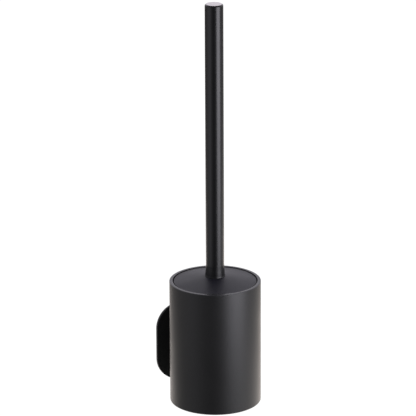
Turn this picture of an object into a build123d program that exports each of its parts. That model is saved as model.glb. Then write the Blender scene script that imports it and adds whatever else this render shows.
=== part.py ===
"""Wall-hung toilet brush holder: a black metal canister that hangs on a small wall plate,
a plastic liner inside it, and a brush whose handle carries the canister's lid.

Millimetres. The origin is the centre of the wall face, the back of the adhesive pad.
+Y points into the wall, -Y into the room, +Z up and +X to the right seen from the room.
"""

import os
from math import cos, pi, radians, sqrt, tan

from build123d import *

os.makedirs("parts", exist_ok=True)

# ---- overall sizes ---------------------------------------------------------------------
canister_diameter = 95.0
canister_height = 132.0
overall_height = 428.0          # canister base to the top of the handle
handle_diameter = 19.0

# ---- clearances ------------------------------------------------------------------------
joint_fit = 0.05                # radial, pieces that are fixed together or turn on a thread
resting_gap = 0.05              # under a piece that stands or hangs on another
pocket_clearance = 0.3          # tongue to strap and tongue to plate, each side
screw_clearance = 0.1           # radial, screw in the canister's wall
stud_clearance = 0.25           # radial, stud in the lid and the washers
lid_gap = 1.1                   # radial, lid to canister rim
liner_gap = 0.6                 # radial, liner to canister rim
gasket_gap = 0.45               # radial, gasket to liner
bristle_gap = 3.4               # radial, bristles to the liner at its floor
head_floor_gap = 12.75          # bristles to the liner's floor, with the brush home

# ---- wall plate and adhesive pad -------------------------------------------------------
plate_size = 85.0
plate_corner = 26.0
plate_thickness = 3.0
plate_edge = 0.6
plate_height = 50.5             # canister base to the plate's centre
pad_thickness = 1.0
pad_inset = 1.0
wall_screw_spacing = 60.0
wall_screw_radius = 2.5
wall_screw_head_radius = 4.4
countersink_angle = 90.0

# ---- hook strap and its rivets ---------------------------------------------------------
strap_thickness = 1.2
strap_height = 28.0
strap_bend = 0.5
strap_ear = 11.5
strap_ear_corner = 3.0
rivet_radius = 1.6
rivet_head_radius = 3.0
rivet_head_height = 1.0
rivet_head_edge = 0.6
rivet_spacing = 16.0

# ---- hanger bracket on the canister ----------------------------------------------------
wall_gap = 4.5                  # plate's front to the canister
tongue_width = 26.0
tongue_thickness = 1.2
tongue_reach = 34.0             # below the strap's top edge
tongue_corner = 5.0
saddle_height = 26.0
saddle_edge = 0.8
hanger_screw_radius = 2.0
hanger_screw_head_radius = 3.7
hanger_screw_head_rim = 0.3
hanger_screw_sink = 0.2         # head below the inside of the wall
hanger_screw_tip_gap = 0.6      # screw tip to the back of the saddle
hanger_screw_spacing = 13.0

# ---- canister and liner ----------------------------------------------------------------
canister_wall = 3.4
canister_floor = 3.4
base_edge = 1.5
rim_edge = 0.4
floor_edge = 2.0
foot_ring_width = 8.0
foot_ring_height = 0.8
liner_wall = 1.6
liner_floor = 1.6
liner_draft = 0.7               # degrees
liner_floor_edge = 3.0
finger_notch_radius = 9.0

# ---- handle and lid --------------------------------------------------------------------
tube_wall = 1.0
cap_head = 2.5
cap_bevel = 1.25
cap_plug = 14.0
plug_lead_in = 1.0
insert_length = 24.0
stud_radius = 4.0
stud_grip = 20.0                # stud inside the handle's insert
stud_lead_in = 0.8
collar_height = 12.0
collar_top_wall = 0.2
collar_base_wall = 0.95
lid_thickness = 3.0
lid_recess = 0.5                # lid's edge below the canister's rim
lid_rise = 5.5                  # lid's middle above its edge
lid_land = 1.0                  # flat round the lid's edge
seat_margin = 0.5               # radial, handle's seat beyond the collar
core_margin = 1.5               # radial, washer to the hollow under the lid
lid_edge = 0.3
rib_height = 3.5
rib_wall = 2.0
gasket_width = 4.8
gasket_groove = 1.0
gasket_edge = 0.4
lid_washer_radius = 10.0
lid_washer_thickness = 1.6
nut_across_flats = 13.0
nut_height = 6.5
nut_sides = 6
nut_edge_angle = 30.0           # degrees

# ---- brush head ------------------------------------------------------------------------
head_washer_radius = 8.0
head_washer_thickness = 1.0
neck_radius = 8.0
neck_length = 22.0
flange_radius = 12.0
flange_thickness = 3.0
flange_edge = 1.0
hub_radius = 9.0
thread_engagement = 10.0
head_insert_radius = 6.0
head_insert_length = 14.0
insert_groove_width = 1.5
insert_groove_depth = 0.5
bristle_top_edge = 3.0
end_bristle_length = 14.0
end_bristle_edge = 16.0

# ---- places ----------------------------------------------------------------------------
canister_radius = canister_diameter / 2
handle_radius = handle_diameter / 2
plate_front = -(pad_thickness + plate_thickness)
spindle_y = plate_front - wall_gap - canister_radius
base_z = -plate_height
rim_z = base_z + canister_height
lid_top = rim_z - lid_recess
lid_bottom = lid_top - lid_thickness
rim_bore = canister_radius - canister_wall
lid_radius = rim_bore - lid_gap
handle_foot = lid_top + lid_rise
handle_top = base_z + overall_height
tube_bore = handle_radius - tube_wall

strap_top = strap_height / 2
tongue_back = plate_front - pocket_clearance
tongue_front = tongue_back - tongue_thickness
bridge_back = tongue_front - pocket_clearance
leg_inside = tongue_width / 2 + pocket_clearance
leg_outside = leg_inside + strap_thickness
rivet_x = leg_outside + strap_ear / 2

saddle_base = strap_top + resting_gap
saddle_side_y = spindle_y + sqrt(canister_radius**2 - (tongue_width / 2) ** 2)
saddle_middle = saddle_base + saddle_height / 2
screw_heights = [saddle_middle + side * hanger_screw_spacing / 2 for side in (-1, 1)]
screw_head_y = spindle_y + rim_bore + hanger_screw_sink
screw_tip_y = tongue_back - hanger_screw_tip_gap

liner_top = lid_bottom - resting_gap
liner_base = base_z + canister_floor + resting_gap
liner_outer = rim_bore - liner_gap
liner_taper = tan(radians(liner_draft)) * (liner_top - liner_base)
liner_mouth = liner_outer - liner_wall

rib_radius = liner_mouth - gasket_gap - gasket_width
washer_bottom = lid_bottom - lid_washer_thickness
nut_bottom = washer_bottom - nut_height
head_washer_top = nut_bottom - resting_gap
head_top = head_washer_top - head_washer_thickness - resting_gap
flange_top = head_top - neck_length
bristle_top = flange_top - flange_thickness
bristle_end = liner_base + liner_floor + head_floor_gap
hub_end = bristle_end + end_bristle_length
side_bristle_base = hub_end + hub_radius
bristle_radius = liner_mouth - liner_taper - bristle_gap

spindle = Axis((0, spindle_y, 0), (0, 0, 1))
section = Plane(origin=(0, spindle_y, 0), x_dir=(1, 0, 0), z_dir=(0, -1, 0))


def level(z):
    """Horizontal plane centred on the canister's axis."""
    return Plane(origin=(0, spindle_y, z))


def facing(y):
    """Upright plane that faces the room; its own Y is the part's Z."""
    return Plane(origin=(0, y, 0), x_dir=(1, 0, 0), z_dir=(0, -1, 0))


# ======================== wall bracket ==================================================

# Double-sided foam tape, cut to the plate's outline, with the plate's two screw holes.
with BuildPart() as adhesive_pad:
    with BuildSketch(facing(0)):
        pad_size = plate_size - 2 * pad_inset
        RectangleRounded(pad_size, pad_size, plate_corner - pad_inset)
        with GridLocations(0, wall_screw_spacing, 1, 2):
            Circle(wall_screw_radius, mode=Mode.SUBTRACT)
    extrude(amount=pad_thickness)
adhesive_pad.part.label = "adhesive_pad"
export_step(adhesive_pad.part, "parts/adhesive_pad.step")

# Pressed steel plate: countersunk for two wall screws, drilled for the strap's rivets.
with BuildPart() as wall_plate:
    with BuildSketch(facing(-pad_thickness)):
        RectangleRounded(plate_size, plate_size, plate_corner)
    extrude(amount=plate_thickness)
    fillet(faces().sort_by(Axis.Y)[0].edges(), plate_edge)
    with Locations(facing(plate_front)):
        with GridLocations(0, wall_screw_spacing, 1, 2):
            CounterSinkHole(
                wall_screw_radius, wall_screw_head_radius, counter_sink_angle=countersink_angle
            )
        with GridLocations(2 * rivet_x, rivet_spacing, 2, 2):
            Hole(rivet_radius + joint_fit)
wall_plate.part.label = "wall_plate"
export_step(wall_plate.part, "parts/wall_plate.step")

# Bent strip like a belt loop: two ears flat on the plate and a bridge that leaves a pocket.
with BuildPart() as hook_strap:
    with BuildSketch(Plane.XY.offset(-strap_height / 2)):
        with BuildLine():
            Polyline(
                (leg_inside, plate_front),
                (leg_outside + strap_ear, plate_front),
                (leg_outside + strap_ear, plate_front - strap_thickness),
                (leg_outside, plate_front - strap_thickness),
                (leg_outside, bridge_back - strap_thickness),
                (0, bridge_back - strap_thickness),
                (0, bridge_back),
                (leg_inside, bridge_back),
                close=True,
            )
        make_face()
        mirror(about=Plane.YZ)
        bends = vertices().filter_by(lambda corner: abs(abs(corner.X) - leg_outside) < strap_bend)
        fillet(bends, strap_bend)
    extrude(amount=strap_height)
    ear_corners = edges().filter_by(Axis.Y).filter_by(lambda edge: abs(edge.center().X) > rivet_x)
    fillet(ear_corners, strap_ear_corner)
    with Locations(facing(plate_front - strap_thickness)):
        with GridLocations(2 * rivet_x, rivet_spacing, 2, 2):
            Hole(rivet_radius + joint_fit)
hook_strap.part.label = "hook_strap"
export_step(hook_strap.part, "parts/hook_strap.step")

# Four round-head rivets, flush with the back of the plate.
with BuildPart() as strap_rivets:
    with BuildSketch(facing(-pad_thickness)):
        with GridLocations(2 * rivet_x, rivet_spacing, 2, 2):
            Circle(rivet_radius)
    extrude(amount=plate_thickness + strap_thickness)
    with BuildSketch(facing(plate_front - strap_thickness)):
        with GridLocations(2 * rivet_x, rivet_spacing, 2, 2):
            Circle(rivet_head_radius)
    extrude(amount=rivet_head_height)
    fillet(edges().group_by(Axis.Y)[0], rivet_head_edge)
strap_rivets.part.label = "strap_rivets"
export_step(strap_rivets.part, "parts/strap_rivets.step")

# ======================== canister ======================================================


def screw_outline(z, grow, head_y):
    """Corners of half a countersunk screw along Y at height z, grown by a clearance."""
    cone_y = screw_head_y + hanger_screw_head_rim
    cone_length = hanger_screw_head_radius - hanger_screw_radius
    return [
        (head_y, z),
        (head_y, z + hanger_screw_head_radius + grow),
        (cone_y, z + hanger_screw_head_radius + grow),
        (cone_y + cone_length, z + hanger_screw_radius + grow),
        (screw_tip_y, z + hanger_screw_radius + grow),
        (screw_tip_y, z),
    ]


# Deep-drawn aluminium cup with a thick wall, a closed floor and a shallow recess under it.
with BuildPart() as canister_shell:
    with BuildSketch(level(base_z)):
        Circle(canister_radius)
    extrude(amount=canister_height)
    fillet(faces().sort_by(Axis.Z)[0].edges(), base_edge)
    with BuildSketch(level(base_z)):
        Circle(canister_radius - foot_ring_width)
    extrude(amount=foot_ring_height, mode=Mode.SUBTRACT)
    with BuildSketch(section):
        with BuildLine():
            Polyline(
                (0, base_z + canister_floor),
                (rim_bore, base_z + canister_floor),
                (rim_bore, rim_z),
                (0, rim_z),
                close=True,
            )
        make_face()
        inner_corner = vertices().group_by(Axis.Y)[0].sort_by(Axis.X)[-1]
        fillet(inner_corner, floor_edge)
    revolve(axis=spindle, mode=Mode.SUBTRACT)
    fillet(faces().sort_by(Axis.Z)[-1].edges(), rim_edge)
    for screw_z in screw_heights:
        with BuildSketch(Plane.YZ):
            with BuildLine():
                inside_y = spindle_y + rim_bore - canister_wall
                Polyline(*screw_outline(screw_z, screw_clearance, inside_y), close=True)
            make_face()
        revolve(axis=Axis((0, 0, screw_z), (0, 1, 0)), mode=Mode.SUBTRACT)
canister_shell.part.label = "canister_shell"
export_step(canister_shell.part, "parts/canister_shell.step")

# Cast hanger: a saddle that fits the canister's back, with a flat tongue for the pocket.
with BuildPart() as hanger_bracket:
    with BuildSketch(Plane.XY.offset(saddle_base)):
        with Locations((0, (tongue_back + saddle_side_y) / 2)):
            Rectangle(tongue_width, tongue_back - saddle_side_y)
        with Locations((0, spindle_y)):
            Circle(canister_radius + joint_fit, mode=Mode.SUBTRACT)
    extrude(amount=saddle_height)
    fillet(edges().filter_by(Axis.Z).group_by(Axis.Y)[-1], saddle_edge)
    with BuildSketch(facing(tongue_back)):
        with Locations((0, strap_top - tongue_reach)):
            Rectangle(
                tongue_width, tongue_reach + resting_gap + saddle_edge, align=(Align.CENTER, Align.MIN)
            )
        chamfer(vertices().group_by(Axis.Y)[0], tongue_corner)
    extrude(amount=tongue_thickness)
    with Locations(facing(saddle_side_y)):
        with Locations(*[(0, screw_z) for screw_z in screw_heights]):
            Hole(hanger_screw_radius + joint_fit)
hanger_bracket.part.label = "hanger_bracket"
export_step(hanger_bracket.part, "parts/hanger_bracket.step")

# Two countersunk screws, put in from inside the canister.
with BuildPart() as hanger_screws:
    for screw_z in screw_heights:
        with BuildSketch(Plane.YZ):
            with BuildLine():
                Polyline(*screw_outline(screw_z, 0, screw_head_y), close=True)
            make_face()
        revolve(axis=Axis((0, 0, screw_z), (0, 1, 0)))
hanger_screws.part.label = "hanger_screws"
export_step(hanger_screws.part, "parts/hanger_screws.step")

# ======================== liner =========================================================

# Moulded cup that lifts out for emptying; its rim carries the lid. Two notches for fingers.
with BuildPart() as liner:
    for inset, floor, corner in (
        (0, 0, liner_floor_edge + liner_wall),
        (liner_wall, liner_floor, liner_floor_edge),
    ):
        with BuildSketch(section):
            with BuildLine():
                Polyline(
                    (0, liner_base + floor),
                    (liner_outer - inset - liner_taper, liner_base + floor),
                    (liner_outer - inset, liner_top),
                    (0, liner_top),
                    close=True,
                )
            make_face()
            fillet(vertices().group_by(Axis.Y)[0].sort_by(Axis.X)[-1], corner)
        revolve(axis=spindle, mode=Mode.SUBTRACT if floor else Mode.ADD)
    with BuildSketch(Plane.YZ):
        with Locations((spindle_y, liner_top)):
            Circle(finger_notch_radius)
    extrude(amount=liner_outer, both=True, mode=Mode.SUBTRACT)
liner.part.label = "liner"
export_step(liner.part, "parts/liner.step")

# ======================== handle and lid ================================================

# Steel tube that stands on the lid.
with BuildPart() as handle_tube:
    with BuildSketch(level(handle_foot)):
        Circle(handle_radius)
        Circle(tube_bore, mode=Mode.SUBTRACT)
    extrude(amount=handle_top - cap_head - handle_foot)
handle_tube.part.label = "handle_tube"
export_step(handle_tube.part, "parts/handle_tube.step")

# Bevelled end cap with a plug inside the tube.
with BuildPart() as handle_cap:
    with BuildSketch(level(handle_top - cap_head)):
        Circle(handle_radius)
    extrude(amount=cap_head)
    chamfer(faces().sort_by(Axis.Z)[-1].edges(), cap_bevel)
    with BuildSketch(level(handle_top - cap_head - cap_plug)):
        Circle(tube_bore - joint_fit)
    extrude(amount=cap_plug)
    chamfer(faces().sort_by(Axis.Z)[0].edges(), plug_lead_in)
handle_cap.part.label = "handle_cap"
export_step(handle_cap.part, "parts/handle_cap.step")

# Threaded slug that is fixed in the tube's lower end.
with BuildPart() as handle_insert:
    with BuildSketch(level(handle_foot)):
        Circle(tube_bore - joint_fit)
    extrude(amount=insert_length)
    chamfer(faces().sort_by(Axis.Z)[-1].edges(), plug_lead_in)
    with BuildSketch(level(handle_foot)):
        Circle(stud_radius + joint_fit)
    extrude(amount=stud_grip + resting_gap, mode=Mode.SUBTRACT)
handle_insert.part.label = "handle_insert"
export_step(handle_insert.part, "parts/handle_insert.step")

# Stud that ties the handle, the lid and the brush head together.
with BuildPart() as tie_stud:
    with BuildSketch(level(head_top - thread_engagement)):
        Circle(stud_radius)
    extrude(amount=handle_foot + stud_grip - head_top + thread_engagement)
    chamfer(edges(), stud_lead_in)
tie_stud.part.label = "tie_stud"
export_step(tie_stud.part, "parts/tie_stud.step")

# Slim conical collar round the foot of the tube.
with BuildPart() as handle_collar:
    with BuildSketch(section):
        collar_bore = handle_radius + joint_fit
        with BuildLine():
            Polyline(
                (collar_bore, handle_foot),
                (collar_bore + collar_base_wall, handle_foot),
                (collar_bore + collar_top_wall, handle_foot + collar_height),
                (collar_bore, handle_foot + collar_height),
                close=True,
            )
        make_face()
    revolve(axis=spindle)
handle_collar.part.label = "handle_collar"
export_step(handle_collar.part, "parts/handle_collar.step")

# Lid: a disc that rises to the handle as a low cone, hollowed underneath round the washer,
# with a rib that carries the gasket.
with BuildPart() as lid_disc:
    with BuildSketch(level(lid_bottom)):
        Circle(lid_radius)
    extrude(amount=lid_thickness)
    chamfer(faces().sort_by(Axis.Z)[-1].edges(), lid_edge)
    cone_radius = lid_radius - lid_land
    seat_radius = collar_bore + collar_base_wall + seat_margin
    cone_slope = lid_rise / (cone_radius - seat_radius)
    with BuildSketch(section):
        with BuildLine():
            Polyline(
                (0, lid_top),
                (cone_radius, lid_top),
                (seat_radius, handle_foot),
                (0, handle_foot),
                close=True,
            )
        make_face()
    revolve(axis=spindle)
    core_inner = lid_washer_radius + core_margin
    core_outer = rib_radius - rib_wall
    with BuildSketch(section):
        with BuildLine():
            Polyline(
                (core_inner, lid_bottom),
                (core_outer, lid_bottom),
                (core_outer, lid_bottom + cone_slope * (cone_radius - core_outer)),
                (core_inner, lid_bottom + cone_slope * (cone_radius - core_inner)),
                close=True,
            )
        make_face()
    revolve(axis=spindle, mode=Mode.SUBTRACT)
    with BuildSketch(level(lid_bottom)):
        Circle(rib_radius)
        Circle(rib_radius - rib_wall, mode=Mode.SUBTRACT)
    extrude(amount=-rib_height)
    with BuildSketch(level(lid_bottom)):
        Circle(stud_radius + stud_clearance)
    extrude(amount=handle_foot - lid_bottom, mode=Mode.SUBTRACT)
lid_disc.part.label = "lid_disc"
export_step(lid_disc.part, "parts/lid_disc.step")

# Silicone ring stretched over the lid's rib; its grooved edge centres the lid in the liner.
with BuildPart() as lid_gasket:
    with BuildSketch(section):
        gasket_bore = rib_radius + joint_fit
        gasket_outer = rib_radius + gasket_width
        with BuildLine():
            Polyline(
                (gasket_bore, lid_bottom),
                (gasket_outer - gasket_edge, lid_bottom),
                (gasket_outer, lid_bottom - gasket_edge),
                (gasket_outer - gasket_groove, lid_bottom - rib_height / 2),
                (gasket_outer, lid_bottom - rib_height + gasket_edge),
                (gasket_outer - gasket_edge, lid_bottom - rib_height),
                (gasket_bore, lid_bottom - rib_height),
                close=True,
            )
        make_face()
    revolve(axis=spindle)
lid_gasket.part.label = "lid_gasket"
export_step(lid_gasket.part, "parts/lid_gasket.step")

# Plain washer under the lid.
with BuildPart() as lid_washer:
    with BuildSketch(level(washer_bottom)):
        Circle(lid_washer_radius)
        Circle(stud_radius + stud_clearance, mode=Mode.SUBTRACT)
    extrude(amount=lid_washer_thickness)
lid_washer.part.label = "lid_washer"
export_step(lid_washer.part, "parts/lid_washer.step")

# Hexagon nut that clamps the lid to the handle; both faces have the usual turned corners.
with BuildPart() as lid_nut:
    with BuildSketch(level(nut_bottom)):
        RegularPolygon(nut_across_flats / 2, nut_sides, major_radius=False)
        Circle(stud_radius + joint_fit, mode=Mode.SUBTRACT)
    extrude(amount=nut_height)
    with BuildSketch(section):
        nut_corner = nut_across_flats / 2 / cos(pi / nut_sides)
        nut_edge = (nut_corner - nut_across_flats / 2) * tan(radians(nut_edge_angle))
        with BuildLine():
            Polyline(
                (0, nut_bottom),
                (nut_across_flats / 2, nut_bottom),
                (nut_corner, nut_bottom + nut_edge),
                (nut_corner, washer_bottom - nut_edge),
                (nut_across_flats / 2, washer_bottom),
                (0, washer_bottom),
                close=True,
            )
        make_face()
    revolve(axis=spindle, mode=Mode.INTERSECT)
lid_nut.part.label = "lid_nut"
export_step(lid_nut.part, "parts/lid_nut.step")

# ======================== brush head ====================================================

# Nylon washer that the head is screwed up against.
with BuildPart() as head_washer:
    with BuildSketch(level(head_washer_top - head_washer_thickness)):
        Circle(head_washer_radius)
        Circle(stud_radius + stud_clearance, mode=Mode.SUBTRACT)
    extrude(amount=head_washer_thickness)
head_washer.part.label = "head_washer"
export_step(head_washer.part, "parts/head_washer.step")

# Moulded core: neck, splash flange and a round-ended hub that holds the bristles.
with BuildPart() as brush_core:
    with BuildSketch(section):
        with BuildLine():
            RadiusArc((0, hub_end), (hub_radius, side_bristle_base), -hub_radius)
            Polyline(
                (hub_radius, side_bristle_base),
                (hub_radius, bristle_top),
                (flange_radius, bristle_top),
                (flange_radius, flange_top),
                (neck_radius, flange_top),
                (neck_radius, head_top),
                (head_insert_radius, head_top),
                (head_insert_radius, head_top - head_insert_length),
                (0, head_top - head_insert_length),
                (0, hub_end),
            )
        make_face()
        flange_corners = vertices().sort_by(Axis.X)[-2:]
        fillet(flange_corners, flange_edge)
    revolve(axis=spindle)
brush_core.part.label = "brush_core"
export_step(brush_core.part, "parts/brush_core.step")

# Brass thread insert in the neck.
with BuildPart() as head_insert:
    with BuildSketch(level(head_top - head_insert_length)):
        Circle(head_insert_radius - joint_fit)
        Circle(stud_radius + joint_fit, mode=Mode.SUBTRACT)
    extrude(amount=head_insert_length)
    with BuildSketch(section):
        with Locations((head_insert_radius - joint_fit, head_top - head_insert_length / 2)):
            Rectangle(2 * insert_groove_depth, insert_groove_width)
    revolve(axis=spindle, mode=Mode.SUBTRACT)
head_insert.part.label = "head_insert"
export_step(head_insert.part, "parts/head_insert.step")

# Outer shape of the bristles that stand out round the hub.
with BuildPart() as side_bristles:
    with BuildSketch(level(side_bristle_base)):
        Circle(bristle_radius)
    extrude(amount=bristle_top - side_bristle_base)
    fillet(faces().sort_by(Axis.Z)[-1].edges(), bristle_top_edge)
    with BuildSketch(level(side_bristle_base)):
        Circle(hub_radius + joint_fit)
    extrude(amount=bristle_top - side_bristle_base, mode=Mode.SUBTRACT)
side_bristles.part.label = "side_bristles"
export_step(side_bristles.part, "parts/side_bristles.step")

# Outer shape of the bristles that fan out below the hub's round end.
with BuildPart() as end_bristles:
    with BuildSketch(section):
        with BuildLine():
            RadiusArc(
                (0, hub_end - joint_fit),
                (hub_radius + joint_fit, side_bristle_base),
                -(hub_radius + joint_fit),
            )
            Polyline(
                (hub_radius + joint_fit, side_bristle_base),
                (bristle_radius, side_bristle_base),
                (bristle_radius, bristle_end),
                (0, bristle_end),
                (0, hub_end - joint_fit),
            )
        make_face()
        fillet(vertices().group_by(Axis.Y)[0].sort_by(Axis.X)[-1], end_bristle_edge)
    revolve(axis=spindle)
end_bristles.part.label = "end_bristles"
export_step(end_bristles.part, "parts/end_bristles.step")
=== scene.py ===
from math import ceil, cos, pi, radians, sin, sqrt, tan

import bmesh
import bpy
from mathutils import Matrix, Vector


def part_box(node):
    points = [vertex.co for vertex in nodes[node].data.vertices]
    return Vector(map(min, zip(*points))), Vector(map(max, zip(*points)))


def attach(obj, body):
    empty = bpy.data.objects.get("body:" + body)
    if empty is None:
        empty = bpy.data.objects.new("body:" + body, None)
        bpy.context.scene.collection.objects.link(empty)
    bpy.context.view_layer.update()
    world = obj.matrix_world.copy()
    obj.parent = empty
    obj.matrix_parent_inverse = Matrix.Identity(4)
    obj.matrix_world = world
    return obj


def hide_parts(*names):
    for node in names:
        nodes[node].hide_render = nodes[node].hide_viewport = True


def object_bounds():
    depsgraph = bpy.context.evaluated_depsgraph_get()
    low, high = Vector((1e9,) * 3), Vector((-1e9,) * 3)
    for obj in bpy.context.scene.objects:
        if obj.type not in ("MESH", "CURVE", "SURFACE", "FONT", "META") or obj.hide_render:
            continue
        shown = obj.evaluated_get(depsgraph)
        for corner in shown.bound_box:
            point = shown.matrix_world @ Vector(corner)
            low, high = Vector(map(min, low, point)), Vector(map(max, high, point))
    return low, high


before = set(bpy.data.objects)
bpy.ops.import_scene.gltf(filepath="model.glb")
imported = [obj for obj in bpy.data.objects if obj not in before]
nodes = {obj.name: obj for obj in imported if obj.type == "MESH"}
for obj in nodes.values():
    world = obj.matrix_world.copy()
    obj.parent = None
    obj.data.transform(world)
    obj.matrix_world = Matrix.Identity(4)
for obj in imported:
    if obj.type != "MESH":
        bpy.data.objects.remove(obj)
cad_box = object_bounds()
scene = bpy.context.scene
scene.view_settings.view_transform = "Standard"

# ---- Camera ----------------------------------------------------------------------------
# A long lens that stands well back, to the left of the wall's normal and above the handle,
# so the canister's rim and lid show as a narrow ellipse.
shell_low, shell_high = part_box("canister_shell")
axis_x = (shell_low.x + shell_high.x) / 2
axis_y = (shell_low.y + shell_high.y) / 2
camera_turn = radians(25.7)
camera_pitch = radians(18.283)
camera_roll = radians(-0.27)
camera_distance = 3.4040
camera_offset = -0.0070
camera_height = 1.3354
focal_length = 301.1

camera_data = bpy.data.cameras.new("camera")
camera_data.lens = focal_length
camera_data.sensor_width = 36.0
camera_data.clip_end = 50.0
camera = bpy.data.objects.new("camera", camera_data)
scene.collection.objects.link(camera)
scene.camera = camera
camera.location = (
    axis_x + camera_offset * cos(camera_turn) - camera_distance * sin(camera_turn),
    axis_y - camera_offset * sin(camera_turn) - camera_distance * cos(camera_turn),
    shell_low.z + camera_height,
)
aim = Matrix.Rotation(-camera_turn, 3, "Z") @ Matrix.Rotation(pi / 2 - camera_pitch, 3, "X")
camera.rotation_euler = (aim @ Matrix.Rotation(camera_roll, 3, "Z")).to_euler()

# ---- Studio ----------------------------------------------------------------------------
# A plain white sweep of paper. Black coats show only what they mirror, so the light it gives
# off is set by direction: dim in front of the object, warm and bright beside it. Low points
# mirror the near floor, high points the far floor. Looked at directly it is plain white.
sweep_strength = 2.5
paper_white = 1.06
floor_drop = 0.60
floor_radius = 12.0
near_floor_ends = 2.2
far_floor_starts = 2.5
near_floor = (
    (-180, 0.60, 0.58, 0.56), (-171, 0.60, 0.58, 0.56), (-166, 2.10, 1.92, 1.80), (-145, 1.75, 1.62, 1.53),
    (-120, 0.80, 0.76, 0.72), (-95, 0.42, 0.41, 0.40), (-60, 0.50, 0.50, 0.52), (-35, 0.34, 0.34, 0.35),
    (-12, 0.13, 0.13, 0.13), (12, 0.12, 0.12, 0.12), (30, 0.32, 0.32, 0.32), (60, 0.95, 0.95, 0.96),
    (90, 1.05, 1.03, 1.02), (120, 1.65, 1.54, 1.46), (145, 2.20, 2.02, 1.88), (166, 2.40, 2.18, 2.03),
    (171, 0.60, 0.58, 0.56), (180, 0.60, 0.58, 0.56),
)
far_floor = (
    (-180, 0.20, 0.20, 0.20), (-155, 0.16, 0.15, 0.15), (-115, 0.16, 0.15, 0.15),
    (-90, 0.50, 0.49, 0.51), (-55, 0.90, 0.88, 0.96), (-30, 0.30, 0.30, 0.31), (-10, 0.10, 0.10, 0.10),
    (10, 0.12, 0.12, 0.12), (30, 0.50, 0.50, 0.52), (60, 0.90, 0.90, 0.94), (85, 0.40, 0.40, 0.42),
    (110, 0.30, 0.30, 0.31), (130, 0.36, 0.35, 0.34), (155, 0.30, 0.29, 0.28), (180, 0.20, 0.20, 0.20),
)
surround = (
    (-180, 0.95, 0.92, 1.00), (-120, 0.90, 0.88, 0.95), (-70, 0.45, 0.44, 0.48), (0, 0.25, 0.25, 0.27),
    (70, 0.60, 0.59, 0.63), (120, 1.00, 0.97, 1.05), (180, 0.95, 0.92, 1.00),
)


def from_camera(turn, rise, reach):
    """Point at this angle round the canister from the camera's side, at this elevation."""
    side = turn - camera_turn
    return Vector(
        (
            axis_x + reach * cos(rise) * sin(side),
            axis_y - reach * cos(rise) * cos(side),
            reach * sin(rise),
        )
    )


def linear(code):
    """The linear RGBA of an sRGB hex colour."""
    parts = [int(code[i : i + 2], 16) / 255 for i in (1, 3, 5)]
    return tuple(c / 12.92 if c <= 0.04045 else ((c + 0.055) / 1.055) ** 2.4 for c in parts) + (1.0,)


def add_node(tree, kind, links=(), **settings):
    """Adds a node; settings name its properties or inputs, and links are (input, socket) pairs."""
    node = tree.nodes.new(kind)
    for name, value in settings.items():
        if hasattr(node, name):
            setattr(node, name, value)
        else:
            node.inputs[name.replace("_", " ")].default_value = value
    for name, socket in links:
        tree.links.new(socket, node.inputs[name])
    return node


def by_direction(tree, direction, stops):
    """Colour by the angle of a direction round the object, measured from the camera's side."""
    split = add_node(tree, "ShaderNodeSeparateXYZ", [("Vector", direction)])
    turn = add_node(
        tree, "ShaderNodeMath", [(0, split.outputs["X"]), (1, split.outputs["Y"])], operation="ARCTAN2",
    )
    shifted = add_node(tree, "ShaderNodeMath", [(0, turn.outputs[0])], operation="ADD")
    shifted.inputs[1].default_value = -camera_turn
    share = add_node(tree, "ShaderNodeMath", [(0, shifted.outputs[0])], operation="MULTIPLY")
    share.inputs[1].default_value = -1 / (2 * pi)
    part = add_node(tree, "ShaderNodeMath", [(0, share.outputs[0])], operation="FRACT")
    ramp = add_node(tree, "ShaderNodeValToRGB", [("Fac", part.outputs[0])])
    ramp.color_ramp.interpolation = "LINEAR"
    marks = ramp.color_ramp.elements
    while len(marks) > 1:
        marks.remove(marks[0])
    marks[0].position = 0
    for i, (angle, *colour) in enumerate(stops):
        mark = marks[0] if i == 0 else marks.new((angle + 180) / 360)
        mark.color = [c / sweep_strength for c in colour] + [1.0]
    return ramp.outputs["Color"]


world = bpy.data.worlds.new("studio")
scene.world = world
world.use_nodes = True
tree = world.node_tree
tree.nodes.clear()
direction = add_node(tree, "ShaderNodeTexCoord").outputs["Generated"]
height = add_node(tree, "ShaderNodeSeparateXYZ", [("Vector", direction)]).outputs["Z"]
ceiling = add_node(
    tree, "ShaderNodeMapRange", [("Value", height)], From_Min=0.45, From_Max=0.85, To_Min=1.0, To_Max=0.5,
)
strength = add_node(tree, "ShaderNodeMath", [(0, ceiling.outputs["Result"])], operation="MULTIPLY")
strength.inputs[1].default_value = sweep_strength
sky = add_node(
    tree, "ShaderNodeBackground",
    [("Color", by_direction(tree, direction, surround)), ("Strength", strength.outputs[0])],
)
backdrop = add_node(tree, "ShaderNodeBackground", Strength=paper_white)
backdrop.inputs["Color"].default_value = linear("#ffffff")
seen = add_node(tree, "ShaderNodeLightPath").outputs["Is Camera Ray"]
plain = add_node(tree, "ShaderNodeMixShader", [(0, seen), (1, sky.outputs[0]), (2, backdrop.outputs[0])])
add_node(tree, "ShaderNodeOutputWorld", [("Surface", plain.outputs[0])])

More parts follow.
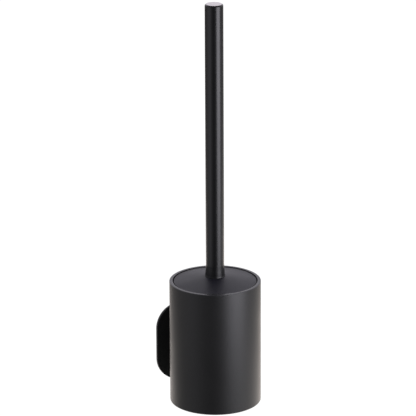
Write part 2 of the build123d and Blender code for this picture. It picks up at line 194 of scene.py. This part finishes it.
floor_mesh = bpy.data.meshes.new("floor")
floor_shape = bmesh.new()
bmesh.ops.create_circle(floor_shape, cap_ends=True, segments=96, radius=floor_radius)
floor_shape.to_mesh(floor_mesh)
floor_shape.free()
floor = bpy.data.objects.new("floor", floor_mesh)
floor.location = (axis_x, axis_y, shell_low.z - floor_drop)
scene.collection.objects.link(floor)
floor_paper = bpy.data.materials.new("paper_sweep")
floor_paper.use_nodes = True
tree = floor_paper.node_tree
tree.nodes.clear()
place = add_node(tree, "ShaderNodeTexCoord").outputs["Object"]
reach = add_node(tree, "ShaderNodeVectorMath", [(0, place)], operation="LENGTH")
far_share = add_node(
    tree, "ShaderNodeMapRange", [("Value", reach.outputs["Value"])],
    From_Min=near_floor_ends, From_Max=far_floor_starts,
)
paper = add_node(tree, "ShaderNodeMix", [("Factor", far_share.outputs["Result"])], data_type="RGBA")
tree.links.new(by_direction(tree, place, near_floor), paper.inputs[6])
tree.links.new(by_direction(tree, place, far_floor), paper.inputs[7])
glow = add_node(tree, "ShaderNodeEmission", [("Color", paper.outputs[2])], Strength=sweep_strength)
sheet = add_node(tree, "ShaderNodeEmission", Strength=paper_white)
sheet.inputs["Color"].default_value = linear("#ffffff")
seen = add_node(tree, "ShaderNodeLightPath").outputs["Is Camera Ray"]
plain = add_node(tree, "ShaderNodeMixShader", [(0, seen), (1, glow.outputs[0]), (2, sheet.outputs[0])])
under = add_node(tree, "ShaderNodeNewGeometry").outputs["Backfacing"]
clear = add_node(tree, "ShaderNodeBsdfTransparent")
upper = add_node(tree, "ShaderNodeMixShader", [(0, under), (1, plain.outputs[0]), (2, clear.outputs[0])])
add_node(tree, "ShaderNodeOutputMaterial", [("Surface", upper.outputs[0])])
floor_mesh.materials.append(floor_paper)


def softbox(name, turn, rise, reach, width, height, radiance, tint="#ffffff"):
    """A rectangular softbox, sizes in metres, that faces the middle of the object."""
    light = bpy.data.lights.new(name, "AREA")
    light.shape = "RECTANGLE"
    light.size = width
    light.size_y = height
    light.energy = radiance * pi * width * height
    light.color = linear(tint)[:3]
    lamp = bpy.data.objects.new(name, light)
    scene.collection.objects.link(lamp)
    middle = Vector((axis_x, axis_y, (cad_box[0][2] + cad_box[1][2]) / 2))
    lamp.location = middle + from_camera(turn, rise, reach) - Vector((axis_x, axis_y, 0))
    lamp.rotation_euler = (lamp.location - middle).to_track_quat("Z", "Y").to_euler()
    return lamp


softbox(
    "key_right", turn=radians(52), rise=radians(7), reach=1.6, width=1.3, height=1.6, radiance=4.2,
    tint="#f7f5ff",
)


# ---- Wall plate and adhesive pad -------------------------------------------------------
# The plate is pressed steel with a dull black powder coat; white foam tape covers its back.
# Both come from the CAD, which has their holes and edges.
MM = 0.001


def new_material(name):
    """An empty node material with its tree, shader and object coordinates."""
    material = bpy.data.materials.new(name)
    material.use_nodes = True
    tree = material.node_tree
    tree.nodes.clear()
    shader = add_node(tree, "ShaderNodeBsdfPrincipled")
    add_node(tree, "ShaderNodeOutputMaterial", [("Surface", shader.outputs[0])])
    return material, tree, shader, add_node(tree, "ShaderNodeTexCoord").outputs["Object"]


def powder_coat(name, dark, light, roughness, spread, grain, relief, specular=0.5):
    """Baked polyester powder: fine orange peel, and a sheen that wanders a little. Sizes in mm."""
    drift_size = 35
    material, tree, shader, place = new_material(name)
    peel = add_node(
        tree, "ShaderNodeTexNoise", [("Vector", place)], Scale=1 / (grain * MM), Detail=3.0, Roughness=0.55,
    )
    drift = add_node(tree, "ShaderNodeTexNoise", [("Vector", place)], Scale=1 / (drift_size * MM), Detail=4.0)
    tone = add_node(tree, "ShaderNodeMix", [("Factor", drift.outputs["Fac"])], data_type="RGBA")
    tone.inputs[6].default_value = linear(dark)
    tone.inputs[7].default_value = linear(light)
    sheen = add_node(
        tree, "ShaderNodeMapRange", [("Value", drift.outputs["Fac"])], From_Min=0.3, From_Max=0.7,
        To_Min=roughness - spread, To_Max=roughness + spread,
    )
    bump = add_node(
        tree, "ShaderNodeBump", [("Height", peel.outputs["Fac"])], Strength=0.35, Distance=relief * MM,
    )
    tree.links.new(tone.outputs[2], shader.inputs["Base Color"])
    tree.links.new(sheen.outputs["Result"], shader.inputs["Roughness"])
    tree.links.new(bump.outputs["Normal"], shader.inputs["Normal"])
    shader.inputs["Specular IOR Level"].default_value = specular
    return material


def finish_node(name, material):
    """Gives a CAD node its material."""
    mesh = nodes[name].data
    mesh.materials.clear()
    mesh.materials.append(material)


# Dull black powder on steel: no highlight to speak of, only a dark even face.
plate_coat = powder_coat(
    "plate_powder_coat", "#292928", "#2d2d2c", roughness=0.55, spread=0.04, grain=0.9, relief=0.03,
    specular=0.25,
)
finish_node("wall_plate", plate_coat)

# Closed-cell foam: off-white and matt, with cells just large enough to be seen; each cell's hollow is painted
# darker as shade.
cell_size = 0.8 * MM
foam, tree, shader, place = new_material("foam_tape")
cells = add_node(tree, "ShaderNodeTexVoronoi", [("Vector", place)], Scale=1 / cell_size)
cell_hollow_shade = add_node(tree, "ShaderNodeMix", [("Factor", cells.outputs["Distance"])], data_type="RGBA")
cell_hollow_shade.inputs[6].default_value = linear("#c9c8c3")
cell_hollow_shade.inputs[7].default_value = linear("#efeeea")
cell_bump = add_node(
    tree, "ShaderNodeBump", [("Height", cells.outputs["Distance"])], Strength=0.5, Distance=0.15 * MM,
)
tree.links.new(cell_hollow_shade.outputs[2], shader.inputs["Base Color"])
tree.links.new(cell_bump.outputs["Normal"], shader.inputs["Normal"])
shader.inputs["Roughness"].default_value = 0.85
finish_node("adhesive_pad", foam)

# ---- Hook strap and rivets -------------------------------------------------------------
# A bent strip of stainless steel, brushed along its length, held by four domed steel rivets.
# The brushing is fine streaks across the strip, one every third of a millimetre.


def steel(name, colour, roughness, streak, streak_axis, relief):
    """Bare metal with streaks that run across one axis; the spacing is in millimetres."""
    along_streak = 60.0
    material, tree, shader, place = new_material(name)
    stretch = [along_streak] * 3
    stretch[streak_axis] = 1 / (streak * MM)
    grain_map = add_node(tree, "ShaderNodeMapping", [("Vector", place)], Scale=stretch)
    streaks = add_node(
        tree, "ShaderNodeTexNoise", [("Vector", grain_map.outputs[0])], Scale=1.0, Detail=3.0, Roughness=0.7,
    )
    sheen = add_node(
        tree, "ShaderNodeMapRange", [("Value", streaks.outputs["Fac"])], From_Min=0.3, From_Max=0.7,
        To_Min=roughness - 0.06, To_Max=roughness + 0.08,
    )
    bump = add_node(
        tree, "ShaderNodeBump", [("Height", streaks.outputs["Fac"])], Strength=0.3, Distance=relief * MM,
    )
    tree.links.new(sheen.outputs["Result"], shader.inputs["Roughness"])
    tree.links.new(bump.outputs["Normal"], shader.inputs["Normal"])
    shader.inputs["Base Color"].default_value = linear(colour)
    shader.inputs["Metallic"].default_value = 1.0
    return material


# Brushed stainless sheet: a soft grey gleam that is drawn out along the brushing.
brushed_stainless = steel(
    "brushed_stainless", "#b4b4b3", roughness=0.34, streak=0.33, streak_axis=2, relief=0.03,
)
finish_node("hook_strap", brushed_stainless)
# Headed rivet wire: a little darker and brighter in its highlight than the sheet.
rivet_steel = steel("rivet_steel", "#a5a6a8", roughness=0.30, streak=0.5, streak_axis=0, relief=0.02)
finish_node("strap_rivets", rivet_steel)

# ---- Canister --------------------------------------------------------------------------
# A deep-drawn aluminium cup, turned true at the rim and powder coated satin black inside
# and out. The rim is a flat land with softened edges; a shallow recess is under the floor.
canister_radius = (shell_high.x - shell_low.x) / 2
canister_wall = 3.4 * MM
canister_floor = 3.4 * MM
foot_ring = 8.0 * MM
foot_height = 0.8 * MM
rim_highlight_band_depth = 0.4 * MM
rim_z = shell_high.z
base_z = shell_low.z


def rounded(corners, steps=5):
    """An outline from (radius, height, rounding) corners, with each rounding drawn as an arc."""
    outline = []
    for i, (r, z, rounding) in enumerate(corners):
        here = Vector((r, z))
        if not rounding:
            outline.append(here)
            continue
        before = Vector(corners[i - 1][:2]) - here
        after = Vector(corners[(i + 1) % len(corners)][:2]) - here
        half = before.angle(after) / 2
        reach = rounding / tan(half)
        centre = here + (before.normalized() + after.normalized()).normalized() * rounding / sin(half)
        start = here + before.normalized() * reach - centre
        end = here + after.normalized() * reach - centre
        sweep = start.angle_signed(end)
        for k in range(steps + 1):
            turn = -sweep * k / steps
            spoke = Vector(
                (start.x * cos(turn) - start.y * sin(turn), start.x * sin(turn) + start.y * cos(turn))
            )
            outline.append(centre + spoke)
    return outline


def add_object(name, mesh, body, slot, *materials):
    """Links a finished mesh as a piece of one body, with its materials. The slot argument is not used."""
    for material in materials:
        mesh.materials.append(material)
    piece = bpy.data.objects.new(name, mesh)
    scene.collection.objects.link(piece)
    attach(piece, body)
    return piece


def turned_mesh(name, outline, steps, closed=True, sharp=32):
    """Turns an outline of (radius, height) points round the canister's axis."""
    shape = bmesh.new()
    rings = []
    for r, z in outline:
        if r < 1e-7:
            rings.append([shape.verts.new((axis_x, axis_y, z))])
            continue
        rings.append(
            [
                shape.verts.new((axis_x + r * cos(turn), axis_y + r * sin(turn), z))
                for turn in (2 * pi * k / steps for k in range(steps))
            ]
        )
    pairs = list(zip(rings, rings[1:]))
    if closed:
        pairs.append((rings[-1], rings[0]))
    for low, high in pairs:
        if len(low) == 1 and len(high) == 1:
            continue
        for k in range(steps):
            n = (k + 1) % steps
            corners = [low[k % len(low)], low[n % len(low)], high[n % len(high)], high[k % len(high)]]
            shape.faces.new(list(dict.fromkeys(corners)))
    bmesh.ops.recalc_face_normals(shape, faces=shape.faces)
    mesh = bpy.data.meshes.new(name)
    shape.to_mesh(mesh)
    shape.free()
    mesh.shade_smooth()
    mesh.set_sharp_from_angle(angle=radians(sharp))
    return mesh


rim_bore = canister_radius - canister_wall
canister_outline = rounded(
    [
        (0, base_z + foot_height, 0),
        (canister_radius - foot_ring, base_z + foot_height, 0.3 * MM),
        (canister_radius - foot_ring, base_z, 0.3 * MM),
        (canister_radius, base_z, 1.5 * MM),
        (canister_radius, rim_z, 0.7 * MM),
        (rim_bore, rim_z, 0.2 * MM),
        (rim_bore, base_z + canister_floor, 2.0 * MM),
        (0, base_z + canister_floor, 0),
    ]
)
# Satin black powder: a soft wide highlight on nearly black, warm where it faces the sides.
body_coat = powder_coat(
    "canister_powder_coat", "#09090a", "#0c0c0d", roughness=0.43, spread=0.02, grain=0.8, relief=0.04,
)
# The same powder pulled thin over the turned rim makes it smoother; its paler colour is a painted highlight,
# so the edge draws a bright line.
rim_coat_painted_highlight = powder_coat(
    "rim_powder_coat_painted_highlight", "#28282a", "#303032", roughness=0.28, spread=0.02, grain=0.8, relief=0.015,
    specular=0.55,
)
canister_mesh = turned_mesh("canister", canister_outline, 192)
canister = add_object("canister", canister_mesh, "canister", "canister_coat", body_coat, rim_coat_painted_highlight)
# Faces in the rim's top band take the paler coat: a painted highlight along the rim.
for face in canister_mesh.polygons:
    if face.center.z > rim_z - rim_highlight_band_depth:
        face.material_index = 1
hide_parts("canister_shell")
finish_node("hanger_bracket", plate_coat)
# Zinc plate on turned steel: cool bright grey with fine rings.
zinc = steel("zinc_plated_steel", "#bfc3c6", roughness=0.32, streak=0.4, streak_axis=2, relief=0.015)
finish_node("hanger_screws", zinc)

# ---- Liner -----------------------------------------------------------------------------
# A black polypropylene cup, injection moulded with a fine spark-eroded grain. It stands
# loose in the canister, and two notches in its rim let fingers lift it out.


def moulded_plastic(name, dark, light, roughness, grain, relief):
    """Moulded plastic: even colour with a faint cloudiness, and a fine eroded grain in mm."""
    cloud_size = 18
    material, tree, shader, place = new_material(name)
    texture = add_node(
        tree, "ShaderNodeTexNoise", [("Vector", place)], Scale=1 / (grain * MM), Detail=2.0,
    )
    cloud = add_node(tree, "ShaderNodeTexNoise", [("Vector", place)], Scale=1 / (cloud_size * MM), Detail=2.0)
    tone = add_node(tree, "ShaderNodeMix", [("Factor", cloud.outputs["Fac"])], data_type="RGBA")
    tone.inputs[6].default_value = linear(dark)
    tone.inputs[7].default_value = linear(light)
    bump = add_node(
        tree, "ShaderNodeBump", [("Height", texture.outputs["Fac"])], Strength=0.4, Distance=relief * MM,
    )
    tree.links.new(tone.outputs[2], shader.inputs["Base Color"])
    tree.links.new(bump.outputs["Normal"], shader.inputs["Normal"])
    shader.inputs["Roughness"].default_value = roughness
    shader.inputs["IOR"].default_value = 1.49
    return material


# Spark-eroded black polypropylene: a dry, slightly grey sheen.
liner_plastic = moulded_plastic(
    "black_polypropylene", "#141415", "#1b1b1c", roughness=0.48, grain=0.7, relief=0.05,
)
finish_node("liner", liner_plastic)

# ---- Handle ----------------------------------------------------------------------------
# Steel tube with a smoother, glossier black coat than the canister's. Its end is closed by
# a bevelled cap whose face is turned bright after coating; a slim cone hides the foot.
tube_low, tube_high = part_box("handle_tube")
cap_low, cap_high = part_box("handle_cap")
collar_low, collar_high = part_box("handle_collar")
handle_radius = (tube_high.x - tube_low.x) / 2
tube_wall = 1.0 * MM
cap_bevel = 1.25 * MM
press_fit = 0.05 * MM
face_depth = 0.1 * MM
collar_foot = (collar_high.x - collar_low.x) / 2
# Semi-gloss black: a narrow highlight that runs the length of the tube.
handle_coat = powder_coat(
    "handle_coat", "#060608", "#08080b", roughness=0.28, spread=0.015, grain=0.7, relief=0.002,
)

tube_outline = rounded(
    [
        (handle_radius - tube_wall, tube_low.z, 0),
        (handle_radius, tube_low.z, 0),
        (handle_radius, tube_high.z, 0),
        (handle_radius - tube_wall, tube_high.z, 0),
    ]
)
tube_mesh = turned_mesh("handle", tube_outline, 96)
tube = add_object("handle", tube_mesh, "brush", "handle_coat", handle_coat)
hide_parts("handle_tube")

cap_seat = tube_high.z
spigot_radius = handle_radius - tube_wall - press_fit
cap_outline = rounded(
    [
        (0, cap_low.z, 0),
        (spigot_radius, cap_low.z, 0.5 * MM),
        (spigot_radius, cap_seat, 0),
        (handle_radius, cap_seat, 0),
        (handle_radius, cap_high.z - cap_bevel, 0.35 * MM),
        (handle_radius - cap_bevel, cap_high.z, 0.2 * MM),
        (0, cap_high.z, 0),
    ]
)
cap_mesh = turned_mesh("handle_end", cap_outline, 96)
# Fine-turned aluminium: a bright, soft face against the black.
cap_face = steel("turned_aluminium", "#dcd8d8", roughness=0.38, streak=0.35, streak_axis=0, relief=0.01)
cap = add_object("handle_end", cap_mesh, "brush", "handle_coat", handle_coat, cap_face)
for face in cap_mesh.polygons:
    if face.normal.z > 0.9 and face.center.z > cap_high.z - face_depth:
        face.material_index = 1
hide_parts("handle_cap")

# The handle's black, duller round the foot, where the powder gathers.
collar_coat = powder_coat(
    "collar_coat", "#060608", "#08080b", roughness=0.36, spread=0.02, grain=0.7, relief=0.002,
    specular=0.36,
)
collar_skin = 0.06 * MM
collar_edge = 0.2 * MM
flare_steps = 14
flare_power = 1.4
collar_bore = handle_radius + press_fit
collar_lip_z = collar_low.z + collar_edge
collar_outline = [(collar_bore, collar_high.z), (collar_bore, collar_low.z)]
collar_outline += [(collar_foot - collar_edge, collar_low.z), (collar_foot, collar_lip_z)]
for k in range(1, flare_steps + 1):
    share = k / flare_steps
    flare = (collar_foot - collar_edge - handle_radius - collar_skin) * (1 - share) ** flare_power
    collar_outline.append(
        (handle_radius + collar_skin + flare, collar_lip_z + (collar_high.z - collar_lip_z) * share)
    )
collar_mesh = turned_mesh("handle_collar_cone", collar_outline, 96)
collar = add_object("handle_collar_cone", collar_mesh, "brush", "handle_coat", collar_coat)
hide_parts("handle_collar")
finish_node("handle_insert", zinc)

# ---- Tie stud --------------------------------------------------------------------------
# An M8 stud with a rolled thread, zinc plated. The thread is a real helix, one turn every
# 1.25 mm, and fades out at both ends.
stud_low, stud_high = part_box("tie_stud")
stud_radius = (stud_high.x - stud_low.x) / 2
pitch = 1.25 * MM
thread_depth = 0.65 * MM
ring_count = 6
around = 36


def thread_mesh(name, low, high):
    """A threaded rod between two heights, with its crests at the stud's radius."""
    rings = ceil((high - low) / pitch * ring_count)
    shape = bmesh.new()
    grid = []
    for i in range(rings + 1):
        z = low + (high - low) * i / rings
        fade = min(1, min(z - low, high - z) / pitch)
        row = []
        for k in range(around):
            phase = ((z - low) / pitch - k / around) % 1
            r = stud_radius - thread_depth * abs(2 * phase - 1) * fade - (1 - fade) * thread_depth
            turn = 2 * pi * k / around
            row.append(shape.verts.new((axis_x + r * cos(turn), axis_y + r * sin(turn), z)))
        grid.append(row)
    for low_row, high_row in zip(grid, grid[1:]):
        for k in range(around):
            n = (k + 1) % around
            shape.faces.new((low_row[k], low_row[n], high_row[n], high_row[k]))
    shape.faces.new(grid[0][::-1])
    shape.faces.new(grid[-1])
    bmesh.ops.recalc_face_normals(shape, faces=shape.faces)
    mesh = bpy.data.meshes.new(name)
    shape.to_mesh(mesh)
    shape.free()
    mesh.shade_smooth()
    mesh.set_sharp_from_angle(angle=radians(50))
    return mesh


stud_mesh = thread_mesh("threaded_stud", stud_low.z, stud_high.z)
stud = add_object("threaded_stud", stud_mesh, "brush", "stud_steel", zinc)
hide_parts("tie_stud")

# ---- Lid -------------------------------------------------------------------------------
# A turned aluminium disc in the canister's coat that rises to the handle as a low cone. A
# rib under it carries a black silicone ring; a washer and a nut clamp it to the handle.
lid_low, lid_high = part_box("lid_disc")
lid_radius = (lid_high.x - lid_low.x) / 2
lid_sunk = 0.5 * MM
lid_edge_z = rim_z - lid_sunk
lid_hole = 4.25 * MM
lid_land = 1.0 * MM
seat_margin = 0.5 * MM
seat_radius = collar_foot + seat_margin
seat_z = collar_low.z
gasket_low, gasket_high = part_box("lid_gasket")
washer_low, washer_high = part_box("lid_washer")
gasket_width = 4.8 * MM
rib_radius = (gasket_high.x - gasket_low.x) / 2 - gasket_width
rib_wall = 2.0 * MM
core_margin = 1.5 * MM
core_inner = (washer_high.x - washer_low.x) / 2 + core_margin
core_outer = rib_radius - rib_wall
lid_under = washer_high.z
lid_slope = (seat_z - lid_edge_z) / (lid_radius - lid_land - seat_radius)
lid_outline = rounded(
    [
        (lid_hole, seat_z, 0),
        (seat_radius, seat_z, 0.4 * MM),
        (lid_radius - lid_land, lid_edge_z, 0.8 * MM),
        (lid_radius, lid_edge_z, 0.15 * MM),
        (lid_radius, lid_under, 0.3 * MM),
        (rib_radius, lid_under, 0),
        (rib_radius, lid_low.z, 0.3 * MM),
        (core_outer, lid_low.z, 0.3 * MM),
        (core_outer, lid_under + lid_slope * (lid_radius - lid_land - core_outer), 0.3 * MM),
        (core_inner, lid_under + lid_slope * (lid_radius - lid_land - core_inner), 0.3 * MM),
        (core_inner, lid_under, 0.3 * MM),
        (lid_hole, lid_under, 0),
    ]
)
# The canister's powder in a slightly bluer, more matt black.
lid_coat = powder_coat(
    "lid_powder_coat", "#14141c", "#191923", roughness=0.50, spread=0.04, grain=0.8, relief=0.06,
)
lid = add_object("lid", turned_mesh("lid", lid_outline, 192, sharp=12), "brush", "lid_coat", lid_coat)
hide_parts("lid_disc")

# Moulded silicone: black, with patches of dusty bloom.
bloom_size = 6 * MM
silicone, tree, shader, place = new_material("black_silicone")
bloom = add_node(tree, "ShaderNodeTexNoise", [("Vector", place)], Scale=1 / bloom_size, Detail=3.0)
bloom_sheen = add_node(
    tree, "ShaderNodeMapRange", [("Value", bloom.outputs["Fac"])], To_Min=0.5, To_Max=0.7,
)
tree.links.new(bloom_sheen.outputs["Result"], shader.inputs["Roughness"])
shader.inputs["Base Color"].default_value = linear("#161617")
shader.inputs["IOR"].default_value = 1.41
finish_node("lid_gasket", silicone)
finish_node("lid_washer", zinc)
finish_node("lid_nut", zinc)

# ---- Brush head: core ------------------------------------------------------------------
# Polypropylene core with a neck, a small splash flange and a round-ended hub, a nylon
# washer on top, and a turned brass thread insert.
finish_node("brush_core", liner_plastic)
# Uncoloured nylon: a creamy white, faintly waxy.
nylon = moulded_plastic("natural_nylon", "#d8d4c6", "#e2dfd3", roughness=0.42, grain=0.6, relief=0.02)
finish_node("head_washer", nylon)
# Turned brass: warm yellow, with the tool's fine rings.
brass = steel("turned_brass", "#c9a45c", roughness=0.26, streak=0.35, streak_axis=2, relief=0.01)
finish_node("head_insert", brass)

# ---- Brush head: bristles --------------------------------------------------------------
# Tufts of black nylon bristle stand in staggered rows round the hub and fan out over its
# round end. Each bristle is half a millimetre thick, crimped, and leans its own way.
side_low, side_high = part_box("side_bristles")
end_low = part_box("end_bristles")[0]
head_radius = (side_high.x - side_low.x) / 2
hub_radius = 9.0 * MM
hub_end_z = end_low.z + 14.0 * MM
bristle_thickness = 0.55 * MM
row_pitch = 4.4 * MM
tufts_in_row = 15
bristles_in_tuft = 16
tuft_foot = 1.3 * MM
tuft_tip = 3.0 * MM
root_depth = 0.5 * MM
tip_margin = 0.7 * MM
end_margin = 0.4 * MM
first_row = 1.5 * MM
strand_patch = 2.2 * MM


def group_input(tree, name, kind, value):
    """A named input of a Geometry Nodes tree, with its default."""
    socket = tree.interface.new_socket(name, in_out="INPUT", socket_type=kind)
    socket.default_value = value
    return socket


def bristle_tree():
    """Grows one curved, crimped bristle on every point, along the point's own direction."""
    tree = bpy.data.node_groups.new("bristles", "GeometryNodeTree")
    tree.interface.new_socket("Geometry", in_out="INPUT", socket_type="NodeSocketGeometry")
    group_input(tree, "Thickness", "NodeSocketFloat", bristle_thickness)
    group_input(tree, "Crimp", "NodeSocketFloat", 0.25 * MM)
    group_input(tree, "Seed", "NodeSocketInt", 7)
    tree.interface.new_socket("Geometry", in_out="OUTPUT", socket_type="NodeSocketGeometry")
    source = add_node(tree, "NodeGroupInput")
    line = add_node(tree, "GeometryNodeCurvePrimitiveLine", Start=(0, 0, 0), End=(0, 0, 1))
    resample = add_node(tree, "GeometryNodeResampleCurve", [("Curve", line.outputs["Curve"])], Count=6)
    direction = add_node(tree, "GeometryNodeInputNamedAttribute", data_type="FLOAT_VECTOR", Name="direction")
    reach = add_node(tree, "GeometryNodeInputNamedAttribute", data_type="FLOAT", Name="reach")
    turn = add_node(
        tree, "FunctionNodeAlignRotationToVector", [("Vector", direction.outputs["Attribute"])], axis="Z",
    )
    stretch = add_node(tree, "ShaderNodeCombineXYZ", [("Z", reach.outputs["Attribute"])], X=1.0, Y=1.0)
    grow = add_node(
        tree, "GeometryNodeInstanceOnPoints",
        [
            ("Points", source.outputs["Geometry"]),
            ("Instance", resample.outputs["Curve"]),
            ("Rotation", turn.outputs["Rotation"]),
            ("Scale", stretch.outputs["Vector"]),
        ],
    )
    real = add_node(tree, "GeometryNodeRealizeInstances", [("Geometry", grow.outputs["Instances"])])
    along = add_node(tree, "GeometryNodeSplineParameter")
    wander = add_node(
        tree, "FunctionNodeRandomValue", [("Seed", source.outputs["Seed"])], data_type="FLOAT_VECTOR",
    )
    wander.inputs[0].default_value = (-1, -1, -1)
    wander.inputs[1].default_value = (1, 1, 1)
    crimp = add_node(
        tree, "ShaderNodeVectorMath",
        [(0, wander.outputs[0]), ("Scale", source.outputs["Crimp"])], operation="SCALE",
    )
    fade = add_node(
        tree, "ShaderNodeVectorMath",
        [(0, crimp.outputs[0]), ("Scale", along.outputs["Factor"])], operation="SCALE",
    )
    bend = add_node(
        tree, "GeometryNodeSetPosition", [("Geometry", real.outputs[0]), ("Offset", fade.outputs[0])],
    )
    radius = add_node(tree, "ShaderNodeMath", [(0, source.outputs["Thickness"])], operation="MULTIPLY")
    radius.inputs[1].default_value = 0.5
    section = add_node(
        tree, "GeometryNodeCurvePrimitiveCircle", [("Radius", radius.outputs[0])], Resolution=3,
    )
    solid = add_node(
        tree, "GeometryNodeCurveToMesh",
        [("Curve", bend.outputs[0]), ("Profile Curve", section.outputs["Curve"])], Fill_Caps=True,
    )
    smooth = add_node(tree, "GeometryNodeSetShadeSmooth", [("Geometry", solid.outputs[0])])
    paint = add_node(
        tree, "GeometryNodeSetMaterial", [("Geometry", smooth.outputs[0])], Material=bristle_nylon,
    )
    add_node(tree, "NodeGroupOutput", [("Geometry", paint.outputs[0])])
    return tree


# Drawn black nylon: smooth round strands that glint, some greyer than others.
bristle_nylon, tree, shader, place = new_material("black_nylon_bristle")
strand = add_node(tree, "ShaderNodeTexNoise", [("Vector", place)], Scale=1 / strand_patch, Detail=2.0)
strand_tone = add_node(tree, "ShaderNodeMix", [("Factor", strand.outputs["Fac"])], data_type="RGBA")
strand_tone.inputs[6].default_value = linear("#19191a")
strand_tone.inputs[7].default_value = linear("#3c3c3e")
tree.links.new(strand_tone.outputs[2], shader.inputs["Base Color"])
shader.inputs["Roughness"].default_value = 0.36
shader.inputs["IOR"].default_value = 1.53
bristles_grown = bristle_tree()


def bristle_piece(name, roots, node):
    """Grows one piece's bristles from (root, direction, length) lists, in place of its CAD solid."""
    mesh = bpy.data.meshes.new(name)
    mesh.from_pydata([root for root, _, _ in roots], [], [])
    way = mesh.attributes.new("direction", "FLOAT_VECTOR", "POINT")
    way.data.foreach_set("vector", [c for _, direction, _ in roots for c in direction])
    reach = mesh.attributes.new("reach", "FLOAT", "POINT")
    reach.data.foreach_set("value", [length for _, _, length in roots])
    seedbed = bpy.data.objects.new(name + "_roots", mesh)
    scene.collection.objects.link(seedbed)
    grower = seedbed.modifiers.new("bristles", "NODES")
    grower.node_group = bristles_grown
    seeds = {item.name: item.identifier for item in bristles_grown.interface.items_tree}
    grower[seeds["Seed"]] = len(roots)
    grown = bpy.data.meshes.new_from_object(seedbed.evaluated_get(bpy.context.evaluated_depsgraph_get()))
    grown.name = name
    bpy.data.objects.remove(seedbed)
    piece = bpy.data.objects.new(name, grown)
    scene.collection.objects.link(piece)
    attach(piece, "head")
    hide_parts(node)
    return piece


def scatter(n, spread):
    """The n-th of an even, repeatable scatter over a disc (sunflower order)."""
    golden = pi * (3 - sqrt(5))
    r = spread * sqrt((n + 0.5) / bristles_in_tuft)
    return r * cos(n * golden), r * sin(n * golden)


def tuft(root, outward, reach, low_z):
    """The bristles of one tuft; they open a little towards their tips."""
    side = outward.orthogonal().normalized()
    other = outward.cross(side)
    made = []
    for n in range(bristles_in_tuft):
        u, v = scatter(n, 1.0)
        foot = root + (side * u + other * v) * tuft_foot
        tip = root + outward * reach + (side * u + other * v) * tuft_tip
        from_axis = Vector((tip.x - axis_x, tip.y - axis_y))
        limit = head_radius - tip_margin
        if from_axis.length > limit:
            from_axis *= limit / from_axis.length
            tip.x, tip.y = axis_x + from_axis.x, axis_y + from_axis.y
        tip.z = max(low_z, min(side_high.z - end_margin, tip.z))
        made.append((foot, (tip - foot).normalized(), (tip - foot).length))
    return made


side_roots = []
row_count = int((side_high.z - side_low.z - 2 * first_row) / row_pitch) + 1
for row in range(row_count):
    for k in range(tufts_in_row):
        turn = 2 * pi * (k + 0.5 * (row % 2)) / tufts_in_row
        outward = Vector((cos(turn), sin(turn), 0))
        root = Vector((axis_x, axis_y, side_low.z + first_row + row * row_pitch))
        root += outward * (hub_radius - root_depth)
        side_roots += tuft(root, outward, head_radius - hub_radius, side_low.z)
bristle_piece("side_bristle_tufts", side_roots, "side_bristles")

end_roots = []
end_centre = Vector((axis_x, axis_y, hub_end_z + hub_radius))
end_rings = ((8, 3), (30, 8), (52, 12), (74, 15))
for ring, (tilt, count) in enumerate(end_rings):
    for k in range(count):
        turn = 2 * pi * (k + 0.5 * (ring % 2)) / count
        rise = radians(tilt)
        outward = Vector((sin(rise) * cos(turn), sin(rise) * sin(turn), -cos(rise)))
        root = end_centre + outward * (hub_radius - root_depth)
        depth = (end_centre.z - end_low.z) / cos(rise)
        across = head_radius / sin(rise)
        edge = (depth**-4 + across**-4) ** -0.25
        end_roots += tuft(root, outward, edge - hub_radius, end_low.z + end_margin)
bristle_piece("end_bristle_tufts", end_roots, "end_bristles")
